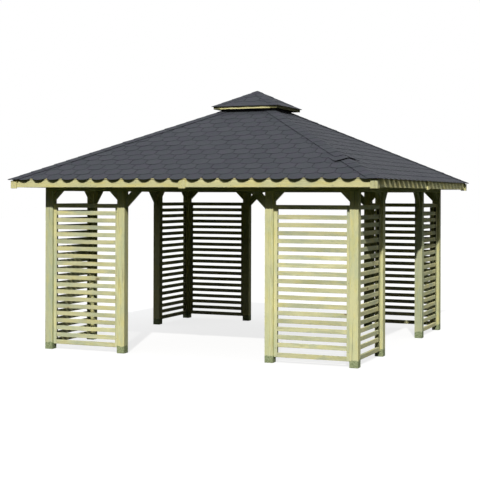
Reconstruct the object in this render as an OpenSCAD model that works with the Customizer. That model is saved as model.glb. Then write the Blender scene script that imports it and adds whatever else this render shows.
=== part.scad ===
// Square garden gazebo: twelve posts, eight slatted screens, knee braces, a ring of
// beams, a low hipped roof with bitumen shingles and a small raised hat on its top.
// Millimetres, +Z up. Origin on level ground, under the middle of the roof.
// The front is -Y and the right is +X.

/* [Posts] */
// Outer width of the square of posts, the same on all four sides
post_span = 4000; // [3400:50:5000]
// Side of each square post
post_w = 100; // [80:5:125]
// Height of the posts, from the ground to the underside of the beams
post_h = 1940; // [1880:10:2400]

/* [Screens] */
// Clear width between a corner post and the post beside it
screen_w = 900; // [600:10:1050]
// Overall height of a screen
screen_h = 1720; // [1400:10:1730]
// Height of a screen's foot above the ground
screen_z = 65; // [20:5:75]
// Width of a stile, seen from the front
stile_w = 42; // [30:1:60]
// Depth of the stiles and rails
frame_t = 34; // [25:1:60]
// Height of a rail or slat
slat_h = 50; // [30:1:70]
// Thickness of a slat
slat_t = 18; // [10:1:25]
// Slats between the rails of a close screen
close_slats = 18; // [8:1:18]
// Slats between the rails of an open screen
open_slats = 17; // [8:1:17]
// Extra room above the top slat and under the bottom slat of an open screen
open_margin = 23; // [0:1:40]

/* [Braces] */
// Thickness of every brace
brace_t = 45; // [30:1:60]
// Leg of a long brace's outer edge, along the post and along the beam
brace_leg = 206; // [150:1:300]
// Leg of the open triangle between a long brace, its post and the beam
brace_hole = 80; // [20:1:110]
// Leg of the solid brace over a screen
short_leg = 124; // [50:1:130]

/* [Roof frame] */
// Height of a beam
beam_h = 185; // [160:5:240]
// Slope of the main roof, in degrees
pitch = 25; // [20:0.5:30]
// Width of a rafter
rafter_w = 45; // [35:1:60]
// Depth of a rafter, square to its slope
rafter_h = 120; // [100:1:150]
// Distance between the middles of two common rafters
rafter_step = 600; // [450:10:700]
// Depth of a rafter's seat over the inner edge of its beam
rafter_seat = 6; // [0:1:20]
// Height of the rafters' level cut tails above the lower edge of the fascia
tail_lift = 4; // [0:1:30]
// Outer half width of the ring under the hat, which the rafters meet
crown_r = 230; // [190:5:260]
// Thickness of the boards of that ring
crown_t = 45; // [30:1:60]

/* [Roof cover] */
// Reach of the fascia's face beyond the posts
eave_reach = 285; // [200:5:350]
// Thickness of a fascia board
fascia_t = 20; // [15:1:30]
// Height of a fascia board's face
fascia_h = 90; // [70:1:120]
// Reach of the roof boards beyond the fascia
board_reach = 5; // [0:1:10]
// Thickness of the roof boards
board_t = 12; // [9:1:20]
// Reach of the shingles beyond the fascia
shingle_reach = 48; // [30:1:70]
// Thickness of the lapped shingles
shingle_t = 9; // [6:0.5:12]
// Width of a hip cap on each side of its hip
cap_w = 95; // [60:5:120]
// Thickness of a hip cap
cap_t = 6; // [4:0.5:8]
// Width of a cover block, on a corner or on the joint in the middle of a side
block_w = 82; // [60:1:110]
// Thickness of a cover block
block_t = 18; // [12:1:25]
// Drop of the cover blocks below the fascia
block_drop = 14; // [0:1:30]

/* [Hat] */
// Half width of the hat over its fascia
hat_r = 440; // [380:5:520]
// Slope of the hat, in degrees
hat_pitch = 26.5; // [20:0.5:35]
// Height of the hat's fascia
hat_fascia_h = 26; // [25:1:60]
// Thickness of the hat's fascia
hat_fascia_t = 16; // [12:1:25]
// Open gap between the hip caps and the hat's fascia
hat_gap = 40; // [30:1:90]
// Reach of the hat's shingles beyond its fascia
hat_reach = 25; // [10:1:30]
// Side of each leg that carries the hat
leg_w = 60; // [40:1:70]

/* [Hidden] */
timber = [0.73, 0.72, 0.53];
slate = [0.27, 0.28, 0.33];
// Longer than any piece, for cutting shapes
big = 3 * post_span;

// Half the width of the joints between boards that butt
hairline = 1;

half = post_span / 2;
corner_x = half - post_w / 2;
// Clear width of the open bay in the middle of each side
bay_w = post_span - 4 * post_w - 2 * screen_w;
inner_x = (bay_w + post_w) / 2;
screen_x = inner_x + (post_w + screen_w) / 2;

beam_in = half - post_w;
beam_top = post_h + beam_h;

fascia_r = half + eave_reach;
board_r = fascia_r + board_reach;
shingle_r = fascia_r + shingle_reach;
rafter_r = fascia_r - fascia_t;
opening_r = crown_r - crown_t;

// Rounds to a tenth of a millimetre, so that layers that meet share one plane
function tenth(v) = round(v * 10) / 10;

// Heights that the roof's planes would reach over the middle, from below upwards.
// Every plane falls by roof_drop on its way out to shingle_r.
roof_drop = tenth(shingle_r * tan(pitch));
slope = roof_drop / shingle_r;
rafter_lo = tenth(beam_top - rafter_seat + beam_in * slope);
rafter_hi = tenth(rafter_lo + rafter_h / cos(pitch));
board_hi = tenth(rafter_hi + board_t / cos(pitch));
shingle_hi = tenth(board_hi + shingle_t / cos(pitch));
cap_hi = tenth(shingle_hi + cap_t / cos(pitch));
fascia_top = rafter_hi - fascia_r * slope;
fascia_z = tenth(fascia_top - fascia_h);

// The same for the hat, whose planes fall by hat_drop on their way out to hat_out
hat_out = hat_r + hat_reach;
hat_drop = tenth(hat_out * tan(hat_pitch));
hat_slope = hat_drop / hat_out;
hat_z = tenth(cap_hi - (hat_r - hat_fascia_t) * slope + hat_gap);
hat_lo = tenth(hat_z + hat_fascia_h + hat_r * hat_slope);
hat_board_hi = tenth(hat_lo + board_t / cos(hat_pitch));
hat_shingle_hi = tenth(hat_board_hi + shingle_t / cos(hat_pitch));

SIDES = ["front", "right", "back", "left"];

// Turns a piece of the front side to side i of SIDES
module on_side(i) {
    rotate([0, 0, 90 * i]) children();
}

// A post on the front side, with its middle at x
module post(x) {
    color(timber)
        translate([x - post_w / 2, -half, 0])
            cube([post_w, post_w, post_h]);
}

// A slatted screen on the front side, with its middle at x
module screen(x, slats, margin) {
    step = (screen_h - slat_h - 2 * margin) / (slats + 1);
    color(timber)
        translate([x - screen_w / 2, -half + (post_w - frame_t) / 2, screen_z])
            union() {
                for (sx = [0, screen_w - stile_w])
                    translate([sx, 0, 0])
                        cube([stile_w, frame_t, screen_h]);
                for (z = [0, screen_h - slat_h])
                    translate([0, 0, z])
                        cube([screen_w, frame_t, slat_h]);
                for (k = [1 : slats])
                    translate([stile_w / 2, (frame_t - slat_t) / 2, margin + k * step])
                        cube([screen_w - stile_w, slat_t, slat_h]);
            }
}

module close_screen(x) {
    screen(x, close_slats, 0);
}

module open_screen(x) {
    screen(x, open_slats, open_margin);
}

// One side's beam, mitred with its neighbours over the corner posts
module beam() {
    color(timber)
        translate([0, 0, post_h])
            linear_extrude(beam_h)
                polygon([[-half, -half], [half, -half], [beam_in, -beam_in], [-beam_in, -beam_in]]);
}

// A brace under the beam, its outline drawn from the corner of a post and the beam
module brace(x, direction, points) {
    translate([x, -half + (post_w + brace_t) / 2, post_h])
        rotate([90, 0, 0])
            linear_extrude(brace_t)
                polygon([for (p = points) [direction * p[0], p[1]]]);
}

// The six braces of one side: two long ones in the open bay, four over the screens
module braces() {
    long = [[0, -brace_leg], [0, -brace_hole], [brace_hole, 0], [brace_leg, 0]];
    short = [[0, -short_leg], [0, 0], [short_leg, 0]];
    color(timber)
        for (s = [-1, 1]) {
            brace(s * bay_w / 2, -s, long);
            brace(s * (bay_w / 2 + post_w), s, short);
            brace(s * beam_in, -s, short);
        }
}

// A layer on the front slope, between two heights over the middle
module layer(out, drop, lo, hi) {
    rotate([90, 0, 90])
        linear_extrude(2 * out, center = true)
            polygon([[-out, lo - drop], [0, lo], [0, hi], [-out, hi - drop]]);
}

module roof_layer(lo, hi) {
    layer(shingle_r, roof_drop, lo, hi);
}

module hat_layer(lo, hi) {
    layer(hat_out, hat_drop, lo, hi);
}

// Stands a shape of the plan upright from the height z
module upright(points, z = 0) {
    translate([0, 0, z])
        linear_extrude(big)
            polygon(points);
}

// The front quarter of the plan between two radii, cut short by a joint at its mitres
module quarter(r_out, r_in, z = 0, joint = 0) {
    upright([[joint - r_out, -r_out], [r_out - joint, -r_out],
             [r_in - joint, -r_in], [joint - r_in, -r_in]], z);
}

// A strip of the plan along the right edge of the front quarter
module hip_strip(r_out, r_in, side) {
    upright([[r_out, -r_out], [r_out - side, -r_out], [r_in - side, -r_in], [r_in, -r_in]]);
}

// The square ring of boards round the opening under the hat
module crown_ring() {
    color(timber)
        for (i = [0 : 3])
            on_side(i)
                intersection() {
                    roof_layer(rafter_lo, rafter_hi);
                    quarter(crown_r, opening_r);
                }
}

// The ring of space that the beams take, cut out of the rafters as their seats
module beam_space() {
    translate([0, 0, post_h])
        linear_extrude(beam_h)
            difference() {
                square(2 * half, center = true);
                square(2 * beam_in, center = true);
            }
}

// The space under the rafters' tails, which are cut level above the fascia's lower edge
module tail_space() {
    translate([-big / 2, -big / 2, 0])
        cube([big, big, fascia_z + tail_lift]);
}

module hip_rafters() {
    color(timber)
        difference() {
            for (i = [0 : 3], m = [0, 1])
                on_side(i)
                    mirror([m, 0, 0])
                        intersection() {
                            roof_layer(rafter_lo, rafter_hi);
                            hip_strip(rafter_r, crown_r, rafter_w / sqrt(2));
                        }
            beam_space();
            tail_space();
        }
}

// The common rafters and the jacks, cut to the faces of the hip rafters
module common_rafters() {
    side = rafter_w / sqrt(2);
    count = floor((rafter_r - rafter_w) / rafter_step);
    color(timber)
        difference() {
            for (i = [0 : 3], k = [-count : count])
                on_side(i)
                    intersection() {
                        roof_layer(rafter_lo, rafter_hi);
                        upright([[side - rafter_r, -rafter_r], [rafter_r - side, -rafter_r],
                                 [crown_r - side, -crown_r], [side - crown_r, -crown_r]]);
                        translate([k * rafter_step - rafter_w / 2, -big / 2, 0])
                            cube([rafter_w, big / 2, big]);
                    }
            beam_space();
            tail_space();
        }
}

module roof_boards() {
    color(timber)
        intersection() {
            roof_layer(rafter_hi, board_hi);
            quarter(board_r, opening_r);
        }
}

module shingles() {
    color(slate)
        intersection() {
            roof_layer(board_hi, shingle_hi);
            quarter(shingle_r, opening_r);
        }
}

// A bent cap over each hip, from the eave to under the hat
module hip_caps() {
    color(slate)
        for (i = [0 : 3], m = [0, 1])
            on_side(i)
                mirror([m, 0, 0])
                    intersection() {
                        roof_layer(shingle_hi, cap_hi);
                        hip_strip(shingle_r, crown_r, cap_w * sqrt(2));
                    }
}

// One side's fascia: two boards with a narrow joint, bevelled under the roof boards
module fascia() {
    color(timber)
        difference() {
            intersection() {
                roof_layer(0, rafter_hi);
                quarter(fascia_r, fascia_r - fascia_t, fascia_z);
            }
            translate([-hairline, -big / 2, 0])
                cube([2 * hairline, big / 2, big]);
        }
}

// A block over the joint of each side, and one wrapped round each corner
module fascia_blocks() {
    out = fascia_r + block_t;
    // Stays under the sloping edges of the roof boards and shingles
    top = tenth(fascia_top - block_t * slope);
    z = fascia_z - block_drop;
    color(timber)
        for (i = [0 : 3])
            on_side(i) {
                translate([-block_w / 2, -out, z])
                    cube([block_w, block_t, top - z]);
                translate([0, 0, z])
                    linear_extrude(top - z)
                        polygon([[out, -out], [out, block_w - out], [fascia_r, block_w - out],
                                 [fascia_r, -fascia_r], [out - block_w, -fascia_r],
                                 [out - block_w, -out]]);
            }
}

// Four legs in the corners of the crown ring, and the four fascia boards of the hat
module hat_frame() {
    foot = tenth(rafter_lo - opening_r * slope);
    color(timber)
        for (i = [0 : 3])
            on_side(i) {
                for (m = [0, 1])
                    mirror([m, 0, 0])
                        intersection() {
                            hat_layer(0, hat_lo);
                            quarter(opening_r, 0);
                            translate([opening_r - leg_w, -opening_r, foot])
                                cube([leg_w, leg_w, big]);
                        }
                intersection() {
                    hat_layer(0, hat_lo);
                    quarter(hat_r, hat_r - hat_fascia_t, hat_z, hairline);
                }
            }
}

module hat_boards() {
    color(timber)
        for (i = [0 : 3])
            on_side(i)
                intersection() {
                    hat_layer(hat_lo, hat_board_hi);
                    quarter(hat_r, 2 * hairline, 0, hairline);
                }
}

module hat_shingles() {
    color(slate)
        for (i = [0 : 3])
            on_side(i)
                intersection() {
                    hat_layer(hat_board_hi, hat_shingle_hi);
                    quarter(hat_out, 2 * hairline, 0, hairline);
                }
}

on_side(0) post(-corner_x);  // post_front_left
on_side(1) post(-corner_x);  // post_front_right
on_side(2) post(-corner_x);  // post_back_right
on_side(3) post(-corner_x);  // post_back_left
on_side(0) post(-inner_x);  // post_front_bay_left
on_side(0) post(inner_x);  // post_front_bay_right
on_side(1) post(-inner_x);  // post_right_bay_front
on_side(1) post(inner_x);  // post_right_bay_back
on_side(2) post(-inner_x);  // post_back_bay_right
on_side(2) post(inner_x);  // post_back_bay_left
on_side(3) post(-inner_x);  // post_left_bay_back
on_side(3) post(inner_x);  // post_left_bay_front
on_side(0) close_screen(-screen_x);  // screen_front_left
on_side(0) open_screen(screen_x);  // screen_front_right
on_side(1) open_screen(-screen_x);  // screen_right_front
on_side(1) open_screen(screen_x);  // screen_right_back
on_side(2) open_screen(-screen_x);  // screen_back_right
on_side(2) close_screen(screen_x);  // screen_back_left
on_side(3) close_screen(-screen_x);  // screen_left_back
on_side(3) close_screen(screen_x);  // screen_left_front
for (i = [0 : 3]) {
    on_side(i) beam();
    on_side(i) braces();
    on_side(i) roof_boards();
    on_side(i) shingles();
    on_side(i) fascia();
}
crown_ring();
hip_rafters();
common_rafters();
hip_caps();
fascia_blocks();
hat_frame();
hat_boards();
hat_shingles();
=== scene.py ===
import math
import random

import bmesh
import bpy
import numpy as np
from mathutils import Matrix, Vector


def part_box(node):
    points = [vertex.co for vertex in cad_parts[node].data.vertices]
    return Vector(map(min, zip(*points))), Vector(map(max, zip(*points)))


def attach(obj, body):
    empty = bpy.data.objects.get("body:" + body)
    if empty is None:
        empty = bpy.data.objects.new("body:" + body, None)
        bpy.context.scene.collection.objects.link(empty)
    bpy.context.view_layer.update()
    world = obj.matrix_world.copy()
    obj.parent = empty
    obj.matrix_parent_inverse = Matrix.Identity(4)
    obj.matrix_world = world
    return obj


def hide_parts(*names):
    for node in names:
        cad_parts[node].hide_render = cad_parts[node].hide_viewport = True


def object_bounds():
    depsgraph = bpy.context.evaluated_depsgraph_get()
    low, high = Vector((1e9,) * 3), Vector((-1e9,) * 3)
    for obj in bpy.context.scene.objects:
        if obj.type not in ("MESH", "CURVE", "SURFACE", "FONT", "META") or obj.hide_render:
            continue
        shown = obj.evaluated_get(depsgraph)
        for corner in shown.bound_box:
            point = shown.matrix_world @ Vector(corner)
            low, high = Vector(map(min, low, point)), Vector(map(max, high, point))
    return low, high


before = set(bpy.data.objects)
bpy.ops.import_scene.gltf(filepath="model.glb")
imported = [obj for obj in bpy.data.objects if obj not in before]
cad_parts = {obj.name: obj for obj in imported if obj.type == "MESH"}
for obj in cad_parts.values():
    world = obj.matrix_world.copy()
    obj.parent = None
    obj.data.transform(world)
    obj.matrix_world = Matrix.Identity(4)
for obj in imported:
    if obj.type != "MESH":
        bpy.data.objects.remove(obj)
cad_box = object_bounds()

# ---- Posts ----------------------------------------------------------------------------------
# Twelve planed softwood posts, pressure treated a pale yellow green, with eased edges, fine
# drying checks along the grain and sawn ends. Their feet stand in wet grass and have gone green.


def new_group(name, inputs, outputs):
    """An empty shader node group with named sockets, and its two end nodes."""
    kinds = {"colour": "NodeSocketColor", "value": "NodeSocketFloat", "vector": "NodeSocketVector"}
    tree = bpy.data.node_groups.new(name, "ShaderNodeTree")
    for label, kind, start in inputs:
        socket = tree.interface.new_socket(name=label, in_out="INPUT", socket_type=kinds[kind])
        if start is not None:
            socket.default_value = start
    for label, kind in outputs:
        tree.interface.new_socket(name=label, in_out="OUTPUT", socket_type=kinds[kind])
    return tree, tree.nodes.new("NodeGroupInput"), tree.nodes.new("NodeGroupOutput")


def fill_socket(tree, socket, value):
    """Links a socket to another one, or writes a plain value into it."""
    if isinstance(value, bpy.types.NodeSocket):
        tree.links.new(value, socket)
    else:
        socket.default_value = value


def add(tree, kind, settings=None, **inputs):
    """Adds a shader node, sets its properties and fills its inputs, by name or as i0, i1, i2."""
    node = tree.nodes.new("ShaderNode" + kind)
    for key, value in (settings or {}).items():
        setattr(node, key, value)
    for key, value in inputs.items():
        by_number = key[0] == "i" and key[1:].isdigit()
        fill_socket(tree, node.inputs[int(key[1:]) if by_number else key.replace("_", " ")], value)
    return node


def maths(tree, operation, *values):
    """A Math node; its inputs are numbers or sockets."""
    node = add(tree, "Math", {"operation": operation})
    for socket, value in zip(node.inputs, values):
        fill_socket(tree, socket, value)
    return node.outputs[0]


def blend_colours(tree, share, first, second, mode="MIX"):
    """A colour Mix node; each of its inputs is a value or a socket."""
    node = add(tree, "Mix", {"data_type": "RGBA", "blend_type": mode}, i0=share, i6=first, i7=second)
    return node.outputs[2]


def ramp(tree, value, low, high):
    """0 below low, 1 above high, and a smooth step between them."""
    node = add(tree, "MapRange", {"interpolation_type": "SMOOTHSTEP"}, i0=value, i1=low, i2=high)
    return node.outputs[0]


def stretched(tree, vector, along, across):
    """The grain's coordinates, scaled apart along the grain and across it."""
    return add(tree, "VectorMath", {"operation": "MULTIPLY"}, i0=vector,
               i1=(along, across, across)).outputs[0]


def laid_over(tree, colour, mask, strength, over_colour):
    """The colour with a stain, or with painted shade, laid over it where the mask says and as strong
    as it may get.
    """
    return blend_colours(tree, maths(tree, "MULTIPLY", mask, strength), colour, over_colour)


# The figure of softwood: growth rings round a pith that runs along the piece, fine fibres,
# knots, drying checks, and the patchy green and grey of the treatment.
figure, figure_in, figure_out = new_group(
    "softwood_figure",
    [("Grain", "vector", None), ("Tone", "value", 0.5), ("Pale", "colour", (0.6, 0.58, 0.3, 1)),
     ("Green", "colour", (0.4, 0.44, 0.25, 1)), ("Knots", "value", 0.5), ("Checks", "value", 0.5)],
    [("Color", "colour"), ("Roughness", "value"), ("Height", "value")])
grain = figure_in.outputs["Grain"]
ring_width = 0.0055
wander = add(figure, "TexNoise", Vector=stretched(figure, grain, 1.1, 5), Scale=1, Detail=2)
bent = add(figure, "VectorMath", {"operation": "MULTIPLY_ADD"}, i0=wander.outputs["Color"],
           i1=(0, 0.03, 0.03), i2=grain)
from_pith = add(figure, "VectorMath", {"operation": "MULTIPLY"}, i0=bent.outputs[0], i1=(0, 1, 1))
radius = add(figure, "VectorMath", {"operation": "LENGTH"}, i0=from_pith.outputs[0])
rings = maths(figure, "SINE",
              maths(figure, "MULTIPLY", radius.outputs["Value"], 2 * math.pi / ring_width))
late_wood = ramp(figure, rings, 0.1, 1.0)
fibres = add(figure, "TexNoise", Vector=stretched(figure, grain, 9, 420), Scale=1, Detail=3)
patches = add(figure, "TexNoise", Vector=stretched(figure, grain, 2.2, 9), Scale=1, Detail=4,
              Roughness=0.6)
warmth = add(figure, "TexNoise", Vector=stretched(figure, grain, 4.5, 17), Scale=1, Detail=3,
             Roughness=0.6)
mottle = add(figure, "TexNoise", Vector=stretched(figure, grain, 22, 60), Scale=1, Detail=3)

# About half of the cells hold a dark knot, with a warmer halo round it.
cells = add(figure, "TexVoronoi", {"feature": "F1"}, Vector=stretched(figure, grain, 2.6, 5),
            Scale=1)
has_knot = maths(figure, "GREATER_THAN",
                 add(figure, "SeparateColor", i0=cells.outputs["Color"]).outputs[0], 0.45)


def knot_mask(inner, outer):
    """1 near the middle of a cell with a knot, out to the inner distance, fading to 0 at the
    outer one."""
    spot = maths(figure, "SUBTRACT", 1, ramp(figure, cells.outputs["Distance"], inner, outer))
    return maths(figure, "MULTIPLY", maths(figure, "MULTIPLY", spot, has_knot),
                 figure_in.outputs["Knots"])


splits = add(figure, "TexNoise", Vector=stretched(figure, grain, 1.6, 75), Scale=1, Detail=2)
check = maths(figure, "MULTIPLY", ramp(figure, splits.outputs[0], 0.665, 0.7),
              figure_in.outputs["Checks"])
tint = blend_colours(figure, ramp(figure, patches.outputs[0], 0.38, 0.66),
                     figure_in.outputs["Pale"], figure_in.outputs["Green"])
yellowed = blend_colours(figure, 1.0, tint, (1.07, 1.01, 0.8, 1), "MULTIPLY")
tint = laid_over(figure, tint, ramp(figure, warmth.outputs[0], 0.48, 0.66), 0.8, yellowed)
greyed = blend_colours(figure, 1.0, tint, (0.78, 0.82, 0.86, 1), "MULTIPLY")
tint = laid_over(figure, tint, ramp(figure, mottle.outputs[0], 0.52, 0.68), 0.4, greyed)
tint = laid_over(figure, tint, late_wood, 0.3, (0.42, 0.36, 0.14, 1))
tint = laid_over(figure, tint, knot_mask(0.08, 0.24), 0.35, (0.5, 0.42, 0.17, 1))
tint = laid_over(figure, tint, knot_mask(0.05, 0.1), 0.75, (0.16, 0.1, 0.045, 1))
tint = laid_over(figure, tint, check, 0.8, (0.07, 0.06, 0.03, 1))
shade = maths(figure, "MULTIPLY",
              maths(figure, "MULTIPLY_ADD", figure_in.outputs["Tone"], 0.26, 0.87),
              maths(figure, "MULTIPLY_ADD", fibres.outputs[0], 0.24, 0.88))
tint = add(figure, "VectorMath", {"operation": "SCALE"}, i0=tint, Scale=shade).outputs[0]
relief = maths(figure, "ADD", maths(figure, "MULTIPLY", fibres.outputs[0], 0.35),
               maths(figure, "MULTIPLY", late_wood, 0.25))
figure.links.new(tint, figure_out.inputs["Color"])
figure.links.new(maths(figure, "MULTIPLY_ADD", fibres.outputs[0], 0.25, 0.6),
                 figure_out.inputs["Roughness"])
figure.links.new(maths(figure, "SUBTRACT", relief, check), figure_out.inputs["Height"])

# Algae and damp that climb from the ground: full at the bottom, ragged at the top.
damp, damp_in, damp_out = new_group(
    "damp_stain", [("Position", "vector", None), ("Top", "value", 0.085), ("Ragged", "value", 0.02)],
    [("Mask", "value"), ("Mottle", "value")])
blots = add(damp, "TexNoise", Vector=damp_in.outputs["Position"], Scale=28, Detail=4)
height = add(damp, "SeparateXYZ", i0=damp_in.outputs["Position"]).outputs["Z"]
edge = maths(damp, "MULTIPLY_ADD", maths(damp, "SUBTRACT", blots.outputs[0], 0.5),
             maths(damp, "MULTIPLY", damp_in.outputs["Ragged"], 4), damp_in.outputs["Top"])
damp.links.new(ramp(damp, maths(damp, "SUBTRACT", edge, height), -0.004, 0.008),
               damp_out.inputs["Mask"])
mould = add(damp, "TexNoise", Vector=damp_in.outputs["Position"], Scale=70, Detail=3)
damp.links.new(mould.outputs[0], damp_out.inputs["Mottle"])


def new_material(name):
    """An empty material with nodes, and its node tree."""
    material = bpy.data.materials.new(name)
    material.use_nodes = True
    material.node_tree.nodes.clear()
    return material, material.node_tree


def timber_material(name, pale, green, knots=0.6, checks=0.5, foot=0.0):
    """Treated softwood. The mesh holds where each point is in its own piece of wood, the
    piece's tone, and where shade is painted on it. foot is how far up the algae reach."""
    material, tree = new_material(name)
    place = add(tree, "Attribute", {"attribute_name": "grain"})
    tone = add(tree, "Attribute", {"attribute_name": "tone"})
    wood = add(tree, "Group", {"node_tree": figure}, Grain=place.outputs["Vector"],
               Tone=tone.outputs["Fac"], Pale=(*pale, 1), Green=(*green, 1), Knots=knots,
               Checks=checks)
    colour = wood.outputs["Color"]
    if foot:
        at = add(tree, "TexCoord").outputs["Object"]
        wet = add(tree, "Group", {"node_tree": damp}, Position=at, Top=foot)
        algae = blend_colours(tree, ramp(tree, wet.outputs["Mottle"], 0.35, 0.62),
                              (0.13, 0.18, 0.08, 1), (0.36, 0.42, 0.24, 1))
        colour = laid_over(tree, colour, wet.outputs["Mask"], 0.88, algae)
    # Painted shade: a dark olive laid on wherever the mesh marks painted shade.
    painted_shade_mask = add(tree, "Attribute", {"attribute_name": "painted_shade"}).outputs["Fac"]
    colour = laid_over(tree, colour, painted_shade_mask, 0.93, (0.035, 0.04, 0.018, 1))
    bump = add(tree, "Bump", Height=wood.outputs["Height"], Strength=0.5, Distance=0.0012)
    skin = add(tree, "BsdfPrincipled", Base_Color=colour, Roughness=wood.outputs["Roughness"],
               Normal=bump.outputs[0])
    skin.inputs["Specular IOR Level"].default_value = 0.03
    tree.links.new(skin.outputs[0], add(tree, "OutputMaterial").inputs[0])
    return material


chance = random.Random(41)


def islands(bm):
    """The separate pieces of a mesh, each as a list of its points."""
    seen, found = set(), []
    for first in bm.verts:
        if first in seen:
            continue
        part, front = [], [first]
        seen.add(first)
        while front:
            v = front.pop()
            part.append(v)
            for e in v.link_edges:
                w = e.other_vert(v)
                if w not in seen:
                    seen.add(w)
                    front.append(w)
        found.append(part)
    return found


def lay_grain(bm):
    """Writes each separate piece's own coordinates, length first, and a tone for the piece.
    The pith of the tree lies at a distance to one side of the piece's middle."""
    grain_of = bm.verts.layers.float_vector.new("grain")
    tone_of = bm.verts.layers.float.new("tone")
    for part in islands(bm):
        points = np.array([v.co for v in part])
        middle = (points.max(0) + points.min(0)) / 2
        axes = np.linalg.svd(points - points.mean(0), full_matrices=False)[2]
        turn, reach = chance.uniform(0, 2 * math.pi), chance.uniform(0.02, 0.11)
        pith = np.array([chance.uniform(0, 30), reach * math.cos(turn), reach * math.sin(turn)])
        tone = chance.random()
        for v, q in zip(part, (points - middle) @ axes.T + pith):
            v[grain_of] = Vector(q)
            v[tone_of] = tone


def piece(name, bm, material, slot, *nodes):
    """Makes a mesh a piece that rides on the gazebo and stands for its CAD nodes."""
    bmesh.ops.recalc_face_normals(bm, faces=bm.faces)
    mesh = bpy.data.meshes.new(name)
    for f in bm.faces:
        f.smooth = False
    bm.to_mesh(mesh)
    bm.free()
    mesh.materials.append(material)
    o = bpy.data.objects.new(name, mesh)
    bpy.context.scene.collection.objects.link(o)
    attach(o, "root")
    if nodes:
        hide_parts(*nodes)


def planed(node, ease):
    """The node's timber with every sharp edge eased to a small round."""
    bm = bmesh.new()
    bm.from_mesh(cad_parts[node].data)
    bmesh.ops.remove_doubles(bm, verts=bm.verts, dist=1e-5)
    bmesh.ops.dissolve_limit(bm, angle_limit=math.radians(1), verts=bm.verts, edges=bm.edges)
    sharp = [e for e in bm.edges if e.is_manifold and e.calc_face_angle() > math.radians(20)]
    bmesh.ops.bevel(bm, geom=sharp, offset=ease, segments=2, profile=0.6, affect="EDGES",
                    clamp_overlap=True)
    bmesh.ops.dissolve_degenerate(bm, dist=1e-6, edges=bm.edges)
    return bm


def timber(name, node, material, slot, ease=0.003):
    """A node's planed timber as a piece, with grain laid along each of its boards."""
    bm = planed(node, ease)
    lay_grain(bm)
    piece(name, bm, material, slot, node)


algae_top = 0.085
post_timber = timber_material("post_timber", (0.71, 0.7, 0.39), (0.6, 0.63, 0.38), foot=algae_top)
greyer_timber = timber_material("weathered_post_timber", (0.57, 0.595, 0.375), (0.48, 0.535, 0.365),
                                foot=algae_top)
greyer_posts = ("post_front_left", "post_right_bay_back")
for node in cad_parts:
    if node.startswith("post_"):
        timber("timber_" + node, node, greyer_timber if node in greyer_posts else post_timber,
               "posts")

# ---- Beams ----------------------------------------------------------------------------------
# Four heavy softwood beams, planed like the posts and mitred over the corner posts. They are
# screwed down into the posts' tops and carry the rafters.

outward = {"front": Vector((0, -1, 0)), "right": Vector((1, 0, 0)), "back": Vector((0, 1, 0)),
           "left": Vector((-1, 0, 0))}
# Painted shade: the same treated timber as the posts, made darker and greener for the beams, braces
# and rafters that stand in shade under the roof.
frame_timber = timber_material("frame_timber", (0.55, 0.56, 0.3), (0.46, 0.5, 0.28))
for side in outward:
    timber("timber_beam_" + side, "beam_" + side, frame_timber, "frame_timber")

# ---- Braces ---------------------------------------------------------------------------------
# Knee braces sawn at 45 degrees from the same stock: long ones in the open bays, short ones over
# the screens. Each is fixed with countersunk, zinc plated screws that have gone dull.

zinc, zinc_tree = new_material("zinc_plated_steel")
dull = add(zinc_tree, "TexNoise", Vector=add(zinc_tree, "TexCoord").outputs["Object"], Scale=260,
           Detail=3)
zinc_skin = add(zinc_tree, "BsdfPrincipled",
                Base_Color=blend_colours(zinc_tree, dull.outputs[0], (0.2, 0.19, 0.15, 1),
                                         (0.32, 0.31, 0.26, 1)),
                Roughness=maths(zinc_tree, "MULTIPLY_ADD", dull.outputs[0], 0.3, 0.5))
zinc_skin.inputs["Metallic"].default_value = 1.0
zinc_tree.links.new(zinc_skin.outputs[0], add(zinc_tree, "OutputMaterial").inputs[0])


def screw(bm, at, out):
    """A countersunk screw head with a six-lobed recess, flush with the wood at a point."""
    at, out = Vector(at), Vector(out).normalized()
    one = out.orthogonal().normalized()
    two = out.cross(one)
    corners = 12
    # The head's radius, how far its lobes go in and out, and its height over the wood.
    profile = ((0.0042, 0, -0.002), (0.0044, 0, 0.0003), (0.0039, 0, 0.0007),
               (0.0021, 0.0004, 0.0008), (0.0019, 0.0004, -0.0012))
    circles = []
    for radius, lobe, rise in profile:
        circle = []
        for k in range(corners):
            r = radius + (lobe if k % 2 else -lobe)
            turn = 2 * math.pi * k / corners
            circle.append(bm.verts.new(at + one * (r * math.cos(turn))
                                       + two * (r * math.sin(turn)) + out * rise))
        circles.append(circle)
    for low, high in zip(circles, circles[1:]):
        for k in range(corners):
            after = (k + 1) % corners
            bm.faces.new((low[k], low[after], high[after], high[k]))
    bm.faces.new(circles[0][::-1])
    bm.faces.new(circles[-1])


def brace_spots(part, along):
    """Where a brace's screws go, along its side and up: by the post, and then by the beam. A
    wide end takes two and a narrow one takes one."""
    flat = [(v.co.dot(along), v.co.z) for v in part]
    middle = Vector((sum(u for u, _ in flat) / len(flat), sum(z for _, z in flat) / len(flat)))
    near, inset, wide_end, half_pair = 0.004, 0.028, 0.1, 0.022

    def heights_at(end):
        """The heights of the points on the brace's upright edge at one end."""
        return [z for u, z in flat if abs(u - end) < near]

    def like_post(end):
        """Largest at the post, where the brace reaches down well past its own middle."""
        low_down = min(heights_at(end)) < middle.y - 0.02
        return low_down, len(heights_at(end))

    post = max((min(u for u, _ in flat), max(u for u, _ in flat)), key=like_post)
    heights = heights_at(post)
    top = max(z for _, z in flat)
    on_beam = [p for p in flat if abs(p[1] - top) < near]
    spots = []
    for first, last in ((Vector((post, min(heights))), Vector((post, max(heights)))),
                        (Vector(min(on_beam)), Vector(max(on_beam)))):
        centre = (first + last) / 2
        inward = (middle - centre).normalized()
        spread = half_pair if (last - first).length > wide_end else 0
        for shift in sorted({-spread, spread}):
            spots.append(centre + inward * inset + (last - first).normalized() * shift)
    return spots


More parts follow.
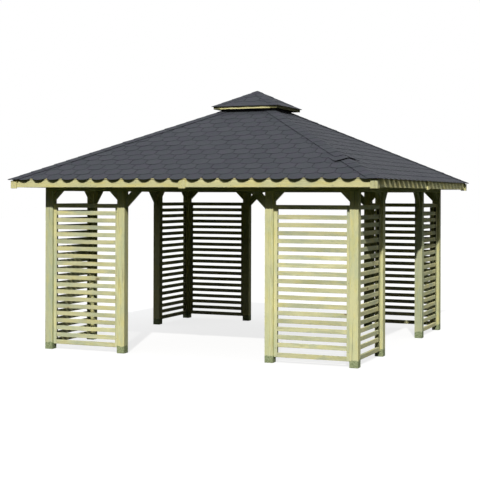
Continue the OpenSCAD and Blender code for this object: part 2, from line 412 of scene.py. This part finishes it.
brace_screws = bmesh.new()
for side, face in outward.items():
    bm = planed("braces_" + side, ease=0.0025)
    along = Vector((0, 0, 1)).cross(face)
    for part in islands(bm):
        front = face * max(v.co.dot(face) for v in part)
        for spot in brace_spots(part, along):
            screw(brace_screws, along * spot.x + Vector((0, 0, spot.y)) + front, face)
    lay_grain(bm)
    piece("timber_braces_" + side, bm, frame_timber, "frame_timber", "braces_" + side)
piece("brace_screws", brace_screws, zinc, None)

# ---- Screens --------------------------------------------------------------------------------
# Slatted softwood panels between the paired posts: two stiles, a top and a bottom rail, and thin
# slats let into shallow notches behind the stiles' face. Each stile is screwed to its post. Its
# inner side, round the slats' ends, is painted dark as shade.

screen_timber = timber_material("screen_timber", (0.74, 0.72, 0.42), (0.52, 0.56, 0.38),
                                knots=0.9, checks=0.3)


def bar(bm, low, high, ease, bow):
    """A planed bar between two corners, with rounded long edges and a slight bow."""
    size = high - low
    axis = max(range(3), key=lambda i: size[i])
    a, b = [i for i in range(3) if i != axis]
    mid_a, mid_b = (low[a] + high[a]) / 2, (low[b] + high[b]) / 2
    outline = []
    for ca, cb, start in ((1, 1, 0), (0, 1, 90), (0, 0, 180), (1, 0, 270)):
        for step in (0, 45, 90):
            turn = math.radians(start + step)
            pa = (high[a] - ease if ca else low[a] + ease) + ease * math.cos(turn)
            pb = (high[b] - ease if cb else low[b] + ease) + ease * math.sin(turn)
            outline.append((pa, pb))
    stations = [0, ease, size[axis] * 0.25, size[axis] * 0.5, size[axis] * 0.75,
                size[axis] - ease, size[axis]]
    loops = []
    for s in stations:
        pull = 1 - (2 * s / size[axis] - 1) ** 2
        tuck = ease if s in (stations[0], stations[-1]) else 0
        loop = []
        for pa, pb in outline:
            p = Vector((0, 0, 0))
            p[axis] = low[axis] + s
            p[a] = pa - math.copysign(min(tuck, abs(pa - mid_a)), pa - mid_a)
            p[b] = pb - math.copysign(min(tuck, abs(pb - mid_b)), pb - mid_b)
            loop.append(bm.verts.new(p + pull * bow))
        loops.append(loop)
    corners = len(outline)
    for one, two in zip(loops, loops[1:]):
        for i in range(corners):
            after = (i + 1) % corners
            bm.faces.new((one[i], one[after], two[after], two[i]))
    bm.faces.new(loops[0][::-1])
    bm.faces.new(loops[-1])


stile_w, slat_h, slat_t, frame_t = 0.042, 0.05, 0.018, 0.034
rail_t = frame_t - 0.001
slat_notch = 0.012
bar_ease = 0.003
# Screens with one slat fewer, and a wider gap above the top slat and under the bottom one.
open_screens = ("screen_front_right", "screen_right_front", "screen_right_back",
                "screen_back_right")


def slatted(low, high, slats, end_gap):
    """The bars of one screen, between the two corners of its box."""
    bm = bmesh.new()
    painted_shade_of = bm.verts.layers.float.new("painted_shade")
    middle = (low + high) / 2
    run, deep = (0, 1) if high.x - low.x > high.y - low.y else (1, 0)
    width, tall = high[run] - low[run], high.z - low.z

    def add_bar(u0, u1, z0, z1, thick, bow=0.0):
        """A bar from u0 to u1 along the screen, and from z0 to z1 up it."""
        ends = []
        for u, z, sign in ((u0, z0, -1), (u1, z1, 1)):
            end = Vector((0, 0, low.z + z))
            end[run] = low[run] + u
            end[deep] = middle[deep] + sign * thick / 2
            ends.append(end)
        bar(bm, *ends, bar_ease, Vector((0, 0, bow)))

    for u in (0, width - stile_w):
        add_bar(u, u + stile_w, 0, tall, frame_t)
    # Painted shade: the stiles' inner sides, between the slats, are marked to be painted dark.
    for v in bm.verts:
        u = v.co[run] - low[run]
        if min(abs(u - stile_w), abs(u - width + stile_w)) < 0.0005:
            v[painted_shade_of] = 1
    for z in (0, tall - slat_h):
        add_bar(stile_w, width - stile_w, z, z + slat_h, rail_t)
    step = (tall - slat_h - 2 * end_gap) / (slats + 1)
    for k in range(1, slats + 1):
        z = end_gap + k * step + chance.uniform(-0.0012, 0.0012)
        add_bar(stile_w - slat_notch, width - stile_w + slat_notch, z, z + slat_h, slat_t,
                chance.uniform(-0.0015, 0.0015))
    return bm


screen_screws = bmesh.new()
for node in sorted(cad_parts):
    if not node.startswith("screen_"):
        continue
    low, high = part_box(node)
    slats, end_gap = (17, 0.023) if node in open_screens else (18, 0.0)
    bm = slatted(low, high, slats, end_gap)
    lay_grain(bm)
    piece("slatted_" + node, bm, screen_timber, "screens", node)
    face = outward[node.split("_")[1]]
    run = 0 if high.x - low.x > high.y - low.y else 1
    for u in (low[run] + stile_w / 2, high[run] - stile_w / 2):
        for share in (0.06, 0.5, 0.94):
            spot = (low + high) / 2 + face * (frame_t / 2)
            spot[run] = u
            spot.z = low.z + share * (high.z - low.z)
            screw(screen_screws, spot, face)
piece("screen_screws", screen_screws, zinc, None)

# ---- Rafters --------------------------------------------------------------------------------
# Softwood hip rafters from the corners and common rafters between them, seated on the beams and
# meeting a square ring of boards under the hat.

for node in ("crown_ring", "hip_rafters", "common_rafters"):
    timber("timber_" + node, node, frame_timber, "frame_timber", ease=0.002)

# ---- Roof boards ----------------------------------------------------------------------------
# Tongued and grooved softwood boards laid level across the rafters and nailed down, with a V
# joint that shows from inside. Their ends are mitred over the hip rafters.

sides = {"front": 0, "right": 90, "back": 180, "left": 270}


def turned(angle, p):
    """A point of the front side, turned to another side."""
    c, s = round(math.cos(math.radians(angle))), round(math.sin(math.radians(angle)))
    return Vector((c * p[0] - s * p[1], s * p[0] + c * p[1], p[2]))


def mitred(bm, angle, outline, gap=0.0):
    """A strip round one side, its outline in distance from the middle and height. Its ends are
    cut to the mitre planes of the corners, or short of them by a gap."""
    ends = []
    for sign in (-1, 1):
        ends.append([bm.verts.new(turned(angle, (sign * (r - gap), -r, z))) for r, z in outline])
    corners = len(outline)
    for i in range(corners):
        after = (i + 1) % corners
        bm.faces.new((ends[0][i], ends[0][after], ends[1][after], ends[1][i]))
    bm.faces.new(ends[0][::-1])
    bm.faces.new(ends[1])


board_timber = timber_material("roof_board_timber", (0.6, 0.53, 0.3), (0.5, 0.47, 0.27),
                               knots=1.0, checks=0.1)
boards_low, boards_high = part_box("roof_boards_front")
board_out, board_in = boards_high.x, -boards_high.y
# How thick the boards are, measured upright, and the slope and the peak that they then have.
thick_z = 0.0132
slope = (boards_high.z - boards_low.z - thick_z) / (board_out - board_in)
pitch = math.atan(slope)
over_middle = boards_high.z + board_in * slope


def board_top(r):
    """How high the boards' upper face is, at a distance from the middle."""
    return over_middle - slope * r


def board_under(r):
    """How high the boards' lower face is, at a distance from the middle."""
    return over_middle - thick_z - slope * r


courses = 20
board_cover = (board_out - board_in) / courses
joint, v_cut, mitre_gap = 0.0004, 0.003, 0.0002
for side, angle in sides.items():
    bm = bmesh.new()
    for k in range(courses):
        outer = board_out - k * board_cover
        inner = outer - board_cover + joint
        mitred(bm, angle, [(outer, board_top(outer)), (outer, board_under(outer) + v_cut),
                           (outer - v_cut, board_under(outer - v_cut)),
                           (inner + v_cut, board_under(inner + v_cut)),
                           (inner, board_under(inner) + v_cut), (inner, board_top(inner))],
               mitre_gap)
    lay_grain(bm)
    piece("boards_" + side, bm, board_timber, "roof_boards", "roof_boards_" + side)

# ---- Shingles -------------------------------------------------------------------------------
# Bitumen strips with rounded tabs, coated in slate-coloured mineral granules and nailed over an
# underlay of felt. Each course laps the one below and is shifted by half a tab. The lowest tabs
# hang past the boards.

granules, granules_in, granules_out = new_group(
    "mineral_granules",
    [("Position", "vector", None), ("Tone", "value", 0.5), ("Dark", "colour", (0.07, 0.075, 0.1, 1)),
     ("Light", "colour", (0.1, 0.105, 0.13, 1))],
    [("Color", "colour"), ("Height", "value")])
on_roof = granules_in.outputs["Position"]
grit = add(granules, "TexNoise", Vector=on_roof, Scale=520, Detail=2)
clouds = add(granules, "TexNoise", Vector=on_roof, Scale=6, Detail=4, Roughness=0.65)
hues = add(granules, "TexNoise", Vector=on_roof, Scale=11, Detail=2)
lightness = maths(granules, "ADD", maths(granules, "MULTIPLY", granules_in.outputs["Tone"], 0.4),
                  maths(granules, "MULTIPLY", clouds.outputs[0], 0.6))
coat = blend_colours(granules, ramp(granules, lightness, 0.15, 0.85), granules_in.outputs["Dark"],
                     granules_in.outputs["Light"])
mauve = blend_colours(granules, 1.0, coat, (1.06, 0.97, 1.05, 1), "MULTIPLY")
coat = blend_colours(granules, ramp(granules, hues.outputs[0], 0.45, 0.62), coat, mauve)
speckle = maths(granules, "MULTIPLY_ADD", grit.outputs[0], 0.9, 0.55)
coat = add(granules, "VectorMath", {"operation": "SCALE"}, i0=coat, Scale=speckle).outputs[0]
granules.links.new(coat, granules_out.inputs["Color"])
granules.links.new(grit.outputs[0], granules_out.inputs["Height"])


def shingle_material(name, dark, light):
    """Bitumen sheet under a coat of granules. The mesh holds the tone of each tab."""
    material, tree = new_material(name)
    tone = add(tree, "Attribute", {"attribute_name": "tone"})
    coat = add(tree, "Group", {"node_tree": granules},
               Position=add(tree, "TexCoord").outputs["Object"], Tone=tone.outputs["Fac"],
               Dark=(*dark, 1), Light=(*light, 1))
    bump = add(tree, "Bump", Height=coat.outputs["Height"], Strength=0.6, Distance=0.0012)
    skin = add(tree, "BsdfPrincipled", Base_Color=coat.outputs["Color"], Roughness=0.88,
               Normal=bump.outputs[0])
    skin.inputs["Specular IOR Level"].default_value = 0.25
    tree.links.new(skin.outputs[0], add(tree, "OutputMaterial").inputs[0])
    return material


shingle_skin = shingle_material("slate_granules", (0.0405, 0.0455, 0.0545), (0.05, 0.055, 0.0645))
felt_skin = shingle_material("underlay_felt", (0.02, 0.02, 0.024), (0.03, 0.03, 0.034))
sheet_t = 0.0024
# How much of each course shows, how far a tab runs up under the next, and how far up it sticks.
exposure, headlap, stuck_at = 0.145, 0.06, 0.12
tab_w, tab_arc, upper_arc = 0.205, 0.05, 0.036


def tab(bm, place, u, s, width, lift, curl, tone, columns=10, arc=tab_arc, rise=0.0042):
    """One tab with a tip rounded by arc, at s up the slope. Its tip stands up by rise, and lift
    and curl bend it further. place turns along, up and out into a point."""
    tone_of = bm.verts.layers.float["tone"]
    # Rounded tabs leave a slit between them, and nearly straight ones all but touch.
    half_slit = 0.004 if arc > 0.01 else 0.0004
    half = width / 2 - half_slit
    bend = (half ** 2 + arc ** 2) / (2 * arc)
    # How far the covered edge's face lies over the boards, and where the curl has died out.
    seat, curl_ends = 0.0026, 0.21
    # Rows of points, from the rounded tip up to the covered edge.
    rows = [[] for _ in range(5)]
    for i in range(columns + 1):
        w = -half + 2 * half * i / columns
        edge = bend - math.sqrt(bend ** 2 - w ** 2)
        ups = (edge, edge + 0.012, arc + 0.02 + edge * 0.3, stuck_at, exposure + headlap)
        for row, up in zip(rows, ups):
            away = rise * (1 - up / (exposure + headlap)) + seat
            away += (lift * (1 - min(up / stuck_at, 1)) ** 1.5
                     + curl * (w / half) ** 2 * (1 - up / curl_ends))
            row.append((u + w, s + up, away))
    top = [[bm.verts.new(place(*p)) for p in row] for row in rows]
    low = [[bm.verts.new(place(p[0], p[1], p[2] - sheet_t)) for p in row] for row in rows]
    for row in top + low:
        for v in row:
            v[tone_of] = tone
    last = len(rows) - 1
    for grid, way in ((top, 1), (low, -1)):
        for one, two in zip(grid, grid[1:]):
            for i in range(columns):
                bm.faces.new((one[i], one[i + 1], two[i + 1], two[i])[::way])
    for i in range(columns):
        bm.faces.new((low[0][i], low[0][i + 1], top[0][i + 1], top[0][i]))
        bm.faces.new((low[last][i + 1], low[last][i], top[last][i], top[last][i + 1]))
    for k in range(last):
        bm.faces.new((low[k + 1][0], low[k][0], top[k][0], top[k + 1][0]))
        bm.faces.new((low[k][columns], low[k + 1][columns], top[k + 1][columns], top[k][columns]))


def slope_place(angle, out, height, pitch):
    """Turns (along the eave, up the slope, out of it) into a point, from the eave's edge up."""
    c, s = math.cos(pitch), math.sin(pitch)

    def place(u, up, away):
        return turned(angle, (u, -(out - up * c + away * s), height + up * s + away * c))
    return place


def trimmed(bm, point, normal):
    """Cuts off what lies past a plane, and closes each sheet along the cut."""
    cut = bmesh.ops.bisect_plane(bm, geom=bm.verts[:] + bm.edges[:] + bm.faces[:], dist=1e-6,
                                 plane_co=point, plane_no=normal, clear_outer=True)
    rim = [e for e in cut["geom_cut"] if isinstance(e, bmesh.types.BMEdge) and e.is_boundary]
    bmesh.ops.holes_fill(bm, edges=rim, sides=0)


def shingled(angle, out, inner, height, pitch, width, eave_arc=tab_arc):
    """The courses of one slope, from the eave's edge out to its inner end, trimmed to its two
    hips. Some tabs are lifted a little."""
    bm = bmesh.new()
    bm.verts.layers.float.new("tone")
    # The lowest tips stop short by the reach of their own curl.
    short = 0.0055
    place = slope_place(angle, out - short, height + short * math.tan(pitch), pitch)
    length = (out - inner) / math.cos(pitch)
    course = 0
    while course * exposure < length:
        s = course * exposure
        reach = out - s * math.cos(pitch)
        count = int(reach / width) + 2
        shift = 0.17 if course % 2 else 0.67
        for j in range(-count, count + 1):
            u = (j + shift) * width
            if abs(u) - width / 2 > reach:
                continue
            lift = 0.002 * max(0, chance.random() - 0.6) / 0.4
            uneven = chance.uniform(-0.002, 0.002) if course else 0
            curl = chance.uniform(-0.0004, 0.0008)
            tab(bm, place, u, s + uneven, width, lift, curl, chance.random(),
                arc=upper_arc if course else eave_arc)
        course += 1
    trimmed(bm, (0, 0, 0), turned(angle, (-1, 1, 0)))
    trimmed(bm, (0, 0, 0), turned(angle, (1, 1, 0)))
    if inner:
        trimmed(bm, turned(angle, (0, -inner, 0)), turned(angle, (0, 1, 0)))
    return bm


def felt_sheet(angle, outer, inner, line, upper):
    """The underlay of one side. line gives the boards' top at a distance from the middle, and
    upper is how far over it the felt's own top lies."""
    bm = bmesh.new()
    under = 0.0002
    mitred(bm, angle, [(r, line(r) + up) for r, up in
                       ((outer, under), (inner, under), (inner, upper), (outer, upper))])
    return bm


tip_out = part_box("shingles_front")[1].x
for side, angle in sides.items():
    bm = shingled(angle, tip_out, board_in, board_top(tip_out), pitch, tab_w)
    felt = felt_sheet(angle, board_out - 0.006, board_in, board_top, upper=0.0018)
    piece("felt_" + side, felt, felt_skin, "shingles")
    piece("courses_" + side, bm, shingle_skin, "shingles", "shingles_" + side)

# ---- Hip caps -------------------------------------------------------------------------------
# Single tabs cut from the same strips, bent over each hip and nailed from the eave up, each
# lapping the one below. One on the near hip has come loose.


def hip_place(angle, out, height, slope, sit):
    """Turns (across the hip, up the hip, out) into a point, from the corner up. The caps sit
    over the slopes by a height of their own."""
    down = Vector((1, -1, -slope)).normalized()
    pitch = math.atan(slope)
    front_normal = Vector((0, -math.sin(pitch), math.cos(pitch)))
    right_normal = Vector((math.sin(pitch), 0, math.cos(pitch)))
    over_front = down.cross(front_normal)
    over_right = down.cross(right_normal)
    if over_front.x > 0:
        over_front = -over_front
    if over_right.y < 0:
        over_right = -over_right
    corner = Vector((out, -out, height))
    fold = 0.012

    def place(w, up, away):
        normal, across = (front_normal, over_front) if w < 0 else (right_normal, over_right)
        share = max(0.0, 1 - abs(w) / fold)
        normal = normal * (1 - share) + (front_normal + right_normal) / 2 * share
        return turned(angle, corner - down * up + across * abs(w) + normal * (away + sit))
    return place


def capped(out, inner, height, slope, sit, width, arc=0.03, loose=None):
    """The caps of all four hips. One on the near hip is loose, if loose tells how far up it is."""
    bm = bmesh.new()
    bm.verts.layers.float.new("tone")
    length = (out - inner) * math.sqrt(2 + slope * slope)
    back, step, trim = 0.006, 0.15, 0.001
    loose_lift, loose_width, near = 0.016, 1.6 * width, 0.08
    for angle in sides.values():
        place = hip_place(angle, out - back, height + back * slope, slope, sit)
        hip = bmesh.new()
        hip.verts.layers.float.new("tone")
        s = 0.0
        while s < length:
            lift = 0.003 * max(0, chance.random() - 0.8) / 0.2
            wide = width
            if loose and angle == 0 and abs(s - loose) < near:
                lift, wide = loose_lift, loose_width
            tab(hip, place, 0, s, wide, lift, 0.0, chance.random(), columns=16, arc=arc,
                rise=0.0038)
            s += step * chance.uniform(0.93, 1.07)
        # Near the top each wing ends where it would meet its neighbour's, and at the bottom
        # both end in line with the eave.
        for point, normal in (((0, 0, 0), (-1, 0, 0)), ((0, 0, 0), (0, 1, 0)),
                              ((inner, -inner, 0), (-1, 1, 0)), ((0, trim - out, 0), (0, -1, 0)),
                              ((out - trim, 0, 0), (1, 0, 0))):
            trimmed(hip, turned(angle, point), turned(angle, normal))
        part = bpy.data.meshes.new("hip")
        hip.to_mesh(part)
        hip.free()
        bm.from_mesh(part)
        bpy.data.meshes.remove(part)
    return bm


bm = capped(tip_out, board_in, board_top(tip_out), slope, sit=0.0085, width=0.2, loose=0.75)
piece("hip_cap_tabs", bm, shingle_skin, "shingles", "hip_caps")

# ---- Fascia ---------------------------------------------------------------------------------
# Planed softwood boards screwed to the rafter ends, two to a side, with a block over each joint
# and one wrapped round each corner.

fascia_timber = timber_material("fascia_timber", (0.76, 0.72, 0.38), (0.66, 0.66, 0.38),
                                knots=0.5, checks=0.2)
for side in sides:
    timber("timber_fascia_" + side, "fascia_" + side, fascia_timber, "fascia_timber", ease=0.002)
timber("timber_fascia_blocks", "fascia_blocks", fascia_timber, "fascia_timber")
low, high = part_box("fascia_front")
rafter_step, from_end = 0.6, 0.02
board_spots = [(k * rafter_step, -low.y) for k in (-3, -2, -1, 1, 2, 3)]
block_spots = [(u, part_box("fascia_blocks")[1].x) for u in (from_end - high.x, 0, high.x - from_end)]
fascia_screws = bmesh.new()
for angle in sides.values():
    for u, out in board_spots + block_spots:
        for up in (0.02, 0.06):
            screw(fascia_screws, turned(angle, (u, -out, low.z + up)), turned(angle, (0, -1, 0)))
piece("fascia_screws", fascia_screws, zinc, None)

# ---- Hat ------------------------------------------------------------------------------------
# The small raised roof over the opening: four legs on the ring, narrow fascia boards, roof boards,
# felt and shingles, all nailed. Three sides of the fascia, and both ends of the front one, are
# painted dark as shade.

bm = planed("hat_frame", ease=0.0015)
painted_shade_of = bm.verts.layers.float.new("painted_shade")
hat_half = max(v.co.x for v in bm.verts)
# From each end of the front board, how far the painted shade is full, and where it has faded out.
# Extra points there keep the fade between the two.
left_full, left_faded, right_full, right_faded = 0.08, 0.1, 0.085, 0.095
for u in (left_faded - hat_half, left_full - hat_half, hat_half - right_faded, hat_half - right_full):
    bmesh.ops.bisect_plane(bm, geom=bm.verts[:] + bm.edges[:] + bm.faces[:], dist=1e-6,
                           plane_co=(u, 0, 0), plane_no=(1, 0, 0))
# Painted shade, nearly full strength, on both ends of the front board and on the other three sides.
behind_front, slack, painted_shade_depth = 0.003, 0.005, 0.82
for v in bm.verts:
    on_left = v.co.x + hat_half < left_full + slack
    on_right = hat_half - v.co.x < right_full + slack
    if on_left or on_right or v.co.y + hat_half > behind_front:
        v[painted_shade_of] = painted_shade_depth
lay_grain(bm)
piece("timber_hat_frame", bm, fascia_timber, "fascia_timber", "hat_frame")
timber("timber_hat_boards", "hat_boards", board_timber, "roof_boards", ease=0.001)

hat_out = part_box("hat_shingles")[1].x
hat_slope = math.tan(math.radians(26.5))
hat_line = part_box("hat_boards")[1].z + 0.001 - hat_slope * hat_out
for side, angle in sides.items():
    bm = shingled(angle, hat_out, 0.0, hat_line, math.atan(hat_slope), width=0.2, eave_arc=0.004)
    piece("hat_courses_" + side, bm, shingle_skin, "shingles",
          *(["hat_shingles"] if side == "front" else []))


def hat_board_top(r):
    """How high the hat's boards are, at a distance from the middle."""
    return hat_line + hat_slope * (hat_out - r)


for side, angle in sides.items():
    felt = felt_sheet(angle, hat_out - 0.03, 0.004, hat_board_top, upper=0.0016)
    piece("hat_felt_" + side, felt, felt_skin, "shingles")


def add_top_square(bm, top):
    """A square of the same sheet, folded over the point, which closes the top."""
    tone_of = bm.verts.layers.float["tone"]
    spread, cells, steep, blunt = 0.06, 8, 0.96 * hat_slope, 0.004
    grids = []
    for drop in (0, sheet_t):
        grid = []
        for i in range(cells + 1):
            row = []
            for j in range(cells + 1):
                x, y = spread * (2 * i / cells - 1), spread * (2 * j / cells - 1)
                far = max(abs(x), abs(y))
                v = bm.verts.new((x, y, top - drop - steep * far * far / (far + blunt)))
                v[tone_of] = 0.6
                row.append(v)
            grid.append(row)
        grids.append(grid)
    upper, lower = grids
    for grid in grids:
        for i in range(cells):
            for j in range(cells):
                bm.faces.new((grid[i][j], grid[i + 1][j], grid[i + 1][j + 1], grid[i][j + 1]))
    rim = ([(i, 0) for i in range(cells)] + [(cells, j) for j in range(cells)]
           + [(i, cells) for i in range(cells, 0, -1)] + [(0, j) for j in range(cells, 0, -1)])
    for (a, b), (c, d) in zip(rim, rim[1:] + rim[:1]):
        bm.faces.new((upper[a][b], upper[c][d], lower[c][d], lower[a][b]))


bm = capped(hat_out, 0.03, hat_line, hat_slope, sit=0.0035, width=0.15, arc=0.012)
hat_point, caps_stop = cad_box[1].z, 0.018
trimmed(bm, (0, 0, hat_point - caps_stop), (0, 0, 1))
add_top_square(bm, hat_point)
piece("hat_cap_tabs", bm, shingle_skin, "shingles")

# ---- Light, floor and camera ----------------------------------------------------------------
# A plain pale floor and a white surround. One hard key lamp like the sun stands in front, high
# and a little to the right, and a faint sky, brightest overhead, fills the shade.


def seen_directly(tree):
    """1 for what the camera sees, also in a reflection or through glass, and 0 for what only
    lights the gazebo."""
    path = add(tree, "LightPath")
    plain = maths(tree, "MAXIMUM", path.outputs["Is Camera Ray"], path.outputs["Is Glossy Ray"])
    return maths(tree, "MAXIMUM", plain, path.outputs["Is Transmission Ray"])


scene = bpy.context.scene
scene.view_settings.view_transform = "Standard"
world = bpy.data.worlds.new("studio")
scene.world = world
world.use_nodes = True
surround = world.node_tree
surround.nodes.clear()
direction = add(surround, "TexCoord").outputs["Generated"]
overhead = maths(surround, "MAXIMUM", add(surround, "SeparateXYZ", i0=direction).outputs["Z"], 0)
sky = maths(surround, "MULTIPLY_ADD", maths(surround, "POWER", overhead, 2), 1.04, 0.006)
fill = add(surround, "Background", Color=(0.93, 0.96, 1.0, 1), Strength=sky)
white = add(surround, "Background", Color=(1, 1, 1, 1), Strength=1.0)
both = add(surround, "MixShader", i0=seen_directly(surround), i1=fill.outputs[0],
           i2=white.outputs[0])
surround.links.new(both.outputs[0], add(surround, "OutputWorld").inputs[0])

sun = bpy.data.lights.new("key", "SUN")
sun.energy = 3.3
sun.angle = math.radians(1.2)
sun.color = (1.0, 0.98, 0.94)
key = bpy.data.objects.new("key", sun)
towards_sun = Vector((0.255, -0.735, 0.628))
key.rotation_euler = towards_sun.to_track_quat("Z", "Y").to_euler()
key.location = towards_sun * 12
scene.collection.objects.link(key)

# The floor reflects as little light as grass does, but it looks plain and pale, and shows only
# a soft shadow.
floor_skin, floor_tree = new_material("pale_floor")
grass = add(floor_tree, "BsdfDiffuse", Color=(0.02, 0.026, 0.013, 1))
pale = add(floor_tree, "BsdfDiffuse", Color=(0.95, 0.95, 0.95, 1))
clear = add(floor_tree, "BsdfTransparent", Color=(0, 0, 0, 1))
shadowed = add(floor_tree, "MixShader", i0=0.75, i1=pale.outputs[0], i2=clear.outputs[0])
glow = add(floor_tree, "Emission", Color=(1, 1, 1, 1), Strength=0.8)
shown = add(floor_tree, "AddShader", i0=shadowed.outputs[0], i1=glow.outputs[0])
both = add(floor_tree, "MixShader", i0=seen_directly(floor_tree), i1=grass.outputs[0],
           i2=shown.outputs[0])
floor_tree.links.new(both.outputs[0], add(floor_tree, "OutputMaterial").inputs[0])
bm = bmesh.new()
bmesh.ops.create_grid(bm, x_segments=4, y_segments=4, size=60)
floor_mesh = bpy.data.meshes.new("floor")
bm.to_mesh(floor_mesh)
bm.free()
floor_mesh.materials.append(floor_skin)
floor = bpy.data.objects.new("floor", floor_mesh)
floor.location.z = -0.001
scene.collection.objects.link(floor)

# The camera looks from the front and a little from the right, at eye height.
camera = bpy.data.cameras.new("camera")
camera.sensor_width = 36
camera.lens = 85.4
camera.shift_y = -0.0917
eye = bpy.data.objects.new("camera", camera)
eye.matrix_world = (Matrix.Translation((5.638, -13.98, 1.884))
                    @ Matrix.Rotation(math.radians(22.83), 4, "Z")
                    @ Matrix.Rotation(math.radians(90), 4, "X")
                    @ Matrix.Rotation(math.radians(0.16), 4, "Z"))
scene.collection.objects.link(eye)
scene.camera = eye
